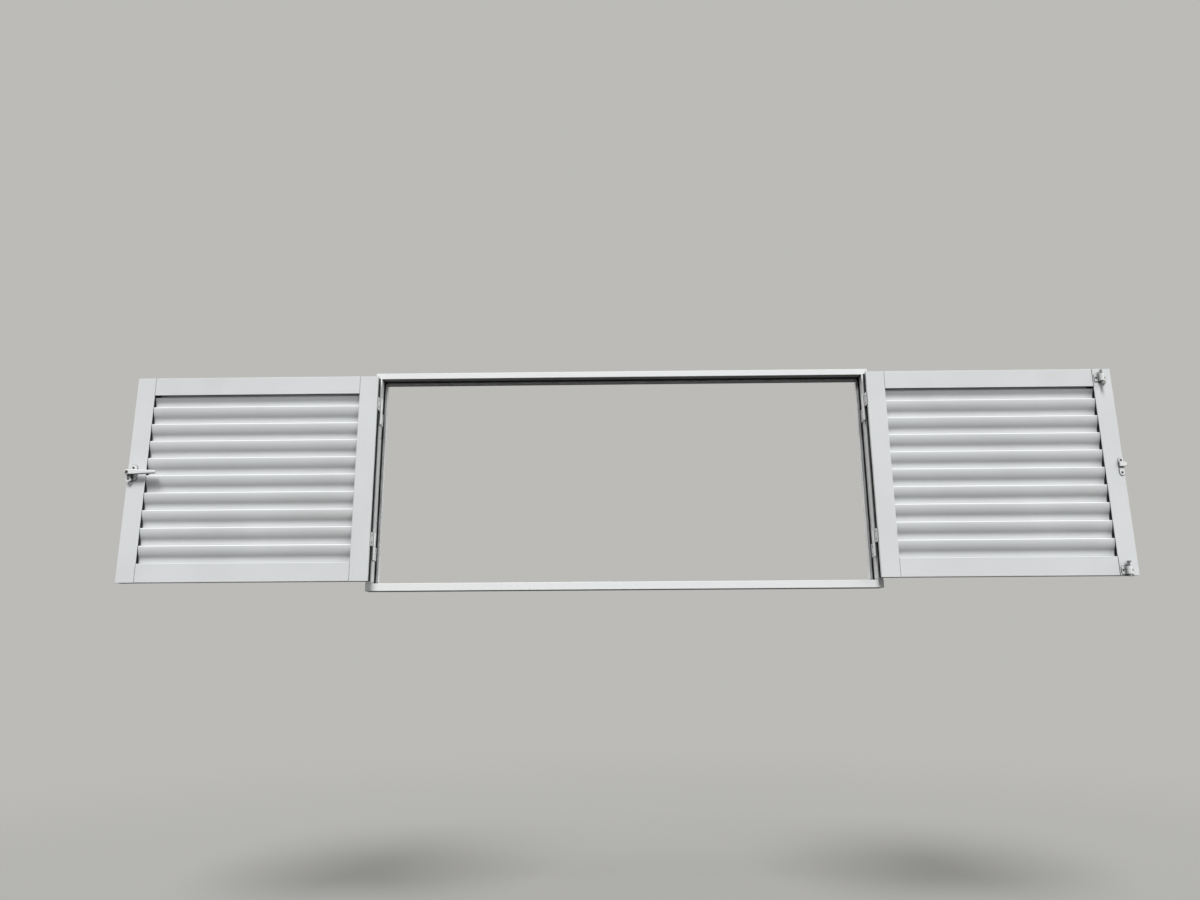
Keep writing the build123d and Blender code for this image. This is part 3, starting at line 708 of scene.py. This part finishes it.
def screw_mesh(work, screw):
    """One screw along -Z, its head's flat at z = 0, with a cross recess and a rolled thread."""
    rim = ring(work, screw.head_radius, -RIM_DROP)
    flat = ring(work, screw.head_radius - RIM_INSET, 0)
    band_between(work, flat, rim)
    cross = [work.verts.new((x, y, 0)) for x, y in cross_outline(screw.head_radius)]
    cross_edges = [work.edges.new((cross[i], cross[(i + 1) % len(cross)])) for i in range(len(cross))]
    flat_edges = [work.edges.get((flat[i], flat[(i + 1) % len(flat)])) for i in range(len(flat))]
    bmesh.ops.triangle_fill(work, edges=cross_edges + flat_edges, use_beauty=True)
    depth = min(RECESS_DEPTH, screw.shank_start * RECESS_DEPTH_SHARE)
    floor = [work.verts.new((v.co.x * RECESS_FLOOR, v.co.y * RECESS_FLOOR, -depth)) for v in cross]
    band_between(work, cross, floor)
    work.faces.new(floor)
    rings = [rim]
    if screw.under_radius > screw.shank_radius * PAN_HEAD_RATIO:
        rings.append(ring(work, screw.head_radius, -screw.shank_start))
    rings.append(ring(work, screw.shank_radius, -screw.shank_start - NECK_STEP))
    rings += thread_rings(work, screw.shank_radius, screw.shank_start + THREAD_PITCH / 2, screw.length)
    for upper, lower in zip(rings, rings[1:]):
        band_between(work, upper, lower)
    work.faces.new(rings[-1])


def make_screws(name, body, node_name):
    """All screws of a node, each with its cross recess turned its own way."""
    work = bmesh.new()
    found = sorted((screw_of(points) for points in solids_of(node_name)), key=lambda s: tuple(s.start))
    for number, screw in enumerate(found):
        single = bmesh.new()
        screw_mesh(single, screw)
        turn = Matrix.Rotation(math.radians(RECESS_TURN * number % QUARTER_TURN), 4, "Z")
        upright = (-screw.direction).to_track_quat("Z", "Y").to_matrix().to_4x4()
        single.transform(Matrix.Translation(screw.start) @ upright @ turn)
        mesh = bpy.data.meshes.new("single")
        single.to_mesh(mesh)
        single.free()
        work.from_mesh(mesh)
        bpy.data.meshes.remove(mesh)
    bmesh.ops.recalc_face_normals(work, faces=work.faces)
    new_piece(name, work, body, "screw_zinc", node_name)


make_screws("frame_screw_set", "frame", "frame_screws")
make_screws("left_leaf_screw_set", "left_leaf", "left_leaf_screws")
make_screws("right_leaf_screw_set", "right_leaf", "right_leaf_screws")


# Slats

def slat_section():
    """A whole slat's face, back and lip as (y, z) corners, z measured up from its foot."""
    low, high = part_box("left_slat_01")
    lip_y, lip_z = low[1] + LIP_RADIUS, high[2] - low[2] - LIP_RADIUS
    lean = 2 * math.atan((high[1] - SLAT_WALL - low[1]) / (SLAT_TAIL - LIP_RADIUS))
    crown = (SLAT_TURN - LIP_RADIUS) / math.sin(lean)
    tail = (SLAT_TAIL - SLAT_TURN) / math.sin(lean)
    face = []
    for step in range(CURVE_STEPS + 1):
        angle = lean * step / CURVE_STEPS
        face.append((low[1] + crown * (1 - math.cos(angle)), lip_z - crown * math.sin(angle), angle))
    turn_y, turn_z, _ = face[-1]
    for step in range(1, CURVE_STEPS + 1):
        angle = lean * (1 - step / CURVE_STEPS)
        face.append((turn_y + tail * (math.cos(angle) - math.cos(lean)),
                     turn_z - tail * (math.sin(lean) - math.sin(angle)), angle))
    face.append((face[-1][0], 0.0, 0.0))
    back = [(y + SLAT_WALL * math.cos(angle), z + SLAT_WALL * math.sin(angle)) for y, z, angle in face[1:]]
    lip_end = -math.pi / 2 - (LIP_RADIUS - SLAT_WALL) / LIP_RADIUS
    lip = []
    for step in range(1, LIP_STEPS + 1):
        angle = math.pi + (lip_end - math.pi) * step / LIP_STEPS
        lip.append((lip_y + LIP_RADIUS * math.cos(angle), lip_z + LIP_RADIUS * math.sin(angle)))
    return [(y, z) for y, z, _ in face], back, lip


def cut_below(points, level):
    """The part of a falling line of (y, z) points that lies below a level, with a point on the level."""
    kept = [point for point in points if point[1] < level]
    above = points[len(points) - len(kept) - 1]
    share = (level - kept[0][1]) / (above[1] - kept[0][1])
    return [(kept[0][0] + (above[0] - kept[0][0]) * share, level)] + kept


def make_slat(node_name, body):
    """One slat, its face running smoothly out of the rounded lip; the top one is cut under the rail."""
    low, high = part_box(node_name)
    whole_low, whole_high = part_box("left_slat_01")
    face, back, lip = slat_section()
    height = high[2] - low[2]
    if height < whole_high[2] - whole_low[2] - TRIM_TOLERANCE:
        section = cut_below(face, height) + cut_below(back, height)[::-1]
    else:
        section = face + back[::-1] + lip[::-1]
    work = bmesh.new()
    ends = [[work.verts.new((x, y, low[2] + z)) for y, z in section] for x in (low[0], high[0])]
    band_between(work, *ends)
    for end in ends:
        work.faces.new(end)
    bmesh.ops.recalc_face_normals(work, faces=work.faces)
    for polygon in work.faces:
        polygon.smooth = True
    piece = new_piece(node_name.replace("slat", "louvre"), work, body, "white_slat", node_name)
    piece.data.set_sharp_from_angle(angle=math.radians(SHARP_ANGLE))


for side in ("left", "right"):
    for node_name in sorted(frame["nodes"]):
        if node_name.startswith(side + "_slat_") and node_name[-1].isdigit():
            make_slat(node_name, side + "_leaf")


# Weather seal

def quarter_turn(centre_x, centre_z, start_angle):
    """Points of a rounded corner of the seal, clockwise from a start angle, as (x, z)."""
    points = []
    for i in range(SEAL_CORNER_STEPS + 1):
        angle = start_angle - math.pi / 2 * i / SEAL_CORNER_STEPS
        points.append((centre_x + SEAL_CORNER * math.cos(angle), centre_z + SEAL_CORNER * math.sin(angle)))
    return points


def seal_route(half, bottom, top):
    """The seal's middle line: up the left jamb, along the head and down the right jamb."""
    corner_z = top - SEAL_CORNER
    side_length = corner_z - bottom
    head_length = (half - SEAL_CORNER) * 2
    side_steps = int(side_length / SEAL_STEP)
    head_steps = int(head_length / SEAL_STEP)
    route = [(-half, bottom + side_length * i / side_steps) for i in range(side_steps)]
    route += quarter_turn(-half + SEAL_CORNER, corner_z, math.pi)
    route += [(-half + SEAL_CORNER + head_length * i / head_steps, top) for i in range(1, head_steps)]
    route += quarter_turn(half - SEAL_CORNER, corner_z, math.pi / 2)
    route += [(half, corner_z - side_length * i / side_steps) for i in range(1, side_steps + 1)]
    return [Vector((x, 0, z)) for x, z in route]


def seal_profile():
    """The bulb's section, as shares of its width across and of its bulge out."""
    profile = [(-0.5, 0.0), (-0.5, SEAL_FOOT)]
    for i in range(1, BULB_STEPS):
        angle = math.pi * i / BULB_STEPS
        profile.append((-0.5 * math.cos(angle), SEAL_FOOT + (1 - SEAL_FOOT) * math.sin(angle)))
    return profile + [(0.5, SEAL_FOOT), (0.5, 0.0)]


def seal_sway(travelled):
    """How far the bulb leans aside at a distance along the seal."""
    wave = 2 * math.pi * travelled / SEAL_WAVE_LENGTH
    small_wave = SMALL_WAVE_SHARE * math.sin(wave / SMALL_WAVE_LENGTH_SHARE + SMALL_WAVE_START)
    return SEAL_WAVE * (math.sin(wave) + small_wave)


def make_seal():
    """The bulb seal as it lies in real life: slightly wavy, round at the top corners."""
    low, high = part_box("weather_seal")
    bulge = high[1] - low[1]
    foot_points = [v.co for v in frame["nodes"]["weather_seal"].data.vertices
                   if v.co.z < low[2] + SAME_LEVEL and v.co.x > 0]
    width = max(p.x for p in foot_points) - min(p.x for p in foot_points)
    route = seal_route((high[0] - low[0] - width) / 2, low[2], high[2] - width / 2)
    profile = seal_profile()
    work = bmesh.new()
    rings = []
    travelled = 0.0
    for index, point in enumerate(route):
        before = route[max(index - 1, 0)]
        after = route[min(index + 1, len(route) - 1)]
        along = (after - before).normalized()
        aside = Vector((along.z, 0, -along.x))
        travelled += (point - before).length
        sway = 0.0 if index in (0, len(route) - 1) else seal_sway(travelled)
        loop = []
        for across, out in profile:
            spot = point + aside * (across * width * SEAL_FILL + sway * out)
            loop.append(work.verts.new((spot.x, high[1] - out * bulge, spot.z)))
        rings.append(loop)
    for first, second in zip(rings, rings[1:]):
        band_between(work, first, second)
    work.faces.new(rings[0])
    work.faces.new(rings[-1])
    bmesh.ops.recalc_face_normals(work, faces=work.faces)
    for face in work.faces:
        face.smooth = len(face.verts) == 4
    new_piece("seal_strip", work, "frame", "seal_rubber", "weather_seal")


make_seal()


# Studio: a pale floor that fades into the background, three wide lamps and a soft sky

def seen_directly(nodes, links):
    """1 for what the camera sees, straight or through gloss and glass, and 0 for light on the object."""
    path = nodes.new("ShaderNodeLightPath")
    total = path.outputs["Is Camera Ray"]
    for ray in ("Is Glossy Ray", "Is Transmission Ray"):
        larger = nodes.new("ShaderNodeMath")
        larger.operation = "MAXIMUM"
        links.new(total, larger.inputs[0])
        links.new(path.outputs[ray], larger.inputs[1])
        total = larger.outputs["Value"]
    return total


def make_floor():
    """A large pale floor that takes shadows near the object and glows as the background far away."""
    work = bmesh.new()
    corners = [(-1, -1), (1, -1), (1, 1), (-1, 1)]
    work.faces.new([
        work.verts.new((x * FLOOR_HALF_SIZE, y * FLOOR_HALF_SIZE, FLOOR_LEVEL)) for x, y in corners
    ])
    mesh = bpy.data.meshes.new("floor")
    work.to_mesh(mesh)
    work.free()
    floor = bpy.data.objects.new("floor", mesh)
    bpy.context.collection.objects.link(floor)
    sheet = Sheet("floor_paint")
    distance = sheet.nodes.new("ShaderNodeVectorMath")
    distance.operation = "LENGTH"
    sheet.link(sheet.place, distance.inputs[0])
    far = sheet.band(distance.outputs["Value"], FLOOR_FADE_START, FLOOR_FADE_END)
    glow = sheet.nodes.new("ShaderNodeEmission")
    glow.inputs["Color"].default_value = (*BACKGROUND, 1)
    mixed = sheet.nodes.new("ShaderNodeMixShader")
    seen = seen_directly(sheet.nodes, sheet.links)
    sheet.link(sheet.times(far, seen), mixed.inputs["Fac"])
    sheet.link(sheet.shader.outputs["BSDF"], mixed.inputs[1])
    sheet.link(glow.outputs["Emission"], mixed.inputs[2])
    sheet.link(mixed.outputs["Shader"], sheet.nodes["Material Output"].inputs["Surface"])
    sheet.link(sheet.blend(seen, FLOOR_BOUNCE, FLOOR_PAINT), sheet.shader.inputs["Base Color"])
    sheet.shader.inputs["Roughness"].default_value = FLOOR_ROUGHNESS
    sheet.shader.inputs["Specular IOR Level"].default_value = FLOOR_GLOSS
    floor.data.materials.append(sheet.material)


def make_sky():
    """Soft light that is stronger from above; the camera and reflections see the plain background."""
    world = bpy.data.worlds.new("studio")
    bpy.context.scene.world = world
    world.use_nodes = True
    nodes, links = world.node_tree.nodes, world.node_tree.links
    nodes.clear()
    direction = nodes.new("ShaderNodeTexCoord").outputs["Generated"]
    split = nodes.new("ShaderNodeSeparateXYZ")
    links.new(direction, split.inputs["Vector"])
    height = nodes.new("ShaderNodeMapRange")
    height.inputs["From Min"].default_value = SKY_FOOT
    height.inputs["From Max"].default_value = 1.0
    height.inputs["To Min"].default_value = SKY_LOW
    height.inputs["To Max"].default_value = SKY_HIGH
    links.new(split.outputs["Z"], height.inputs["Value"])
    sky = nodes.new("ShaderNodeBackground")
    sky.inputs["Color"].default_value = (*SKY_COLOUR, 1)
    links.new(height.outputs["Result"], sky.inputs["Strength"])
    plain = nodes.new("ShaderNodeBackground")
    plain.inputs["Color"].default_value = (*BACKGROUND, 1)
    choose = nodes.new("ShaderNodeMixShader")
    links.new(seen_directly(nodes, links), choose.inputs["Fac"])
    links.new(sky.outputs["Background"], choose.inputs[1])
    links.new(plain.outputs["Background"], choose.inputs[2])
    output = nodes.new("ShaderNodeOutputWorld")
    links.new(choose.outputs["Shader"], output.inputs["Surface"])


def make_lamp(name, come_from, spread, strength):
    """A wide even lamp, far away in the direction that it comes from."""
    light = bpy.data.lights.new(name, "SUN")
    light.angle = math.radians(spread)
    light.energy = strength
    lamp = bpy.data.objects.new(name, light)
    lamp.rotation_euler = Vector(come_from).to_track_quat("Z", "Y").to_euler()
    bpy.context.collection.objects.link(lamp)


def make_camera():
    """The camera where the viewer stood, turned by its yaw, pitch and roll."""
    pitch, yaw, roll = (math.radians(a) for a in (CAMERA_PITCH, CAMERA_YAW, CAMERA_ROLL))
    ahead = Vector((math.sin(yaw) * math.cos(pitch), math.cos(yaw) * math.cos(pitch), math.sin(pitch)))
    level = Vector((math.cos(yaw), -math.sin(yaw), 0))
    upward = level.cross(ahead)
    right = math.cos(roll) * level + math.sin(roll) * upward
    top = -math.sin(roll) * level + math.cos(roll) * upward
    turn = Matrix((right, top, -ahead)).transposed()
    camera = bpy.data.objects.new("camera", bpy.data.cameras.new("camera"))
    camera.data.sensor_fit = "HORIZONTAL"
    camera.data.sensor_width = SENSOR_WIDTH_MM
    camera.data.lens = FOCAL_PX / PHOTO_WIDTH_PX * SENSOR_WIDTH_MM
    camera.matrix_world = Matrix.Translation(CAMERA_PLACE) @ turn.to_4x4()
    bpy.context.collection.objects.link(camera)
    bpy.context.scene.camera = camera


make_floor()
make_sky()
for lamp_settings in LAMPS:
    make_lamp(*lamp_settings)
make_camera()
bpy.context.scene.view_settings.view_transform = "Standard"
